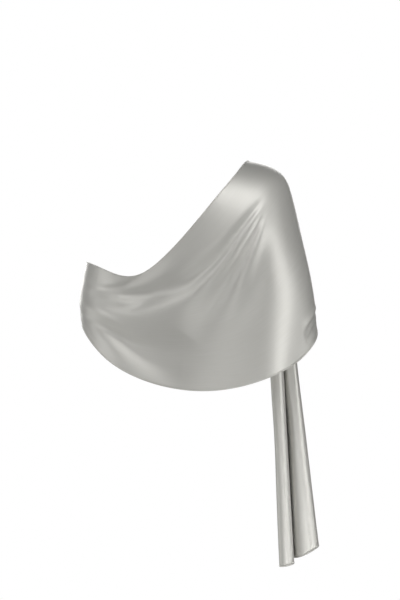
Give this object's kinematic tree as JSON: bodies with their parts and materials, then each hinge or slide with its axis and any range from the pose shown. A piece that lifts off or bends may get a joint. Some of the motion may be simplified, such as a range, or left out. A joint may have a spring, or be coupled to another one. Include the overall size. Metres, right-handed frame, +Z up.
{
  "type": "evening stole",
  "caption": "Grey satin evening stole, a long strip of cloth worn over one shoulder and round both elbows, with one hanging end.",
  "frame": {"origin": "underside of the cloth on top of the right shoulder, where the wearer carries it", "axes": "+Z up, +X to the wearer's right, +Y to the wearer's front"},
  "size_m": [0.5075, 0.2791, 0.8551],
  "materials": {
    "satin": "smooth warm grey satin, softly glossy, with narrow rolled hems"
  },
  "bodies": {
    "root": {"left_end": "satin", "back_drape": "satin", "right_front": "satin", "right_tail": "satin"}
  },
  "joints": []
}
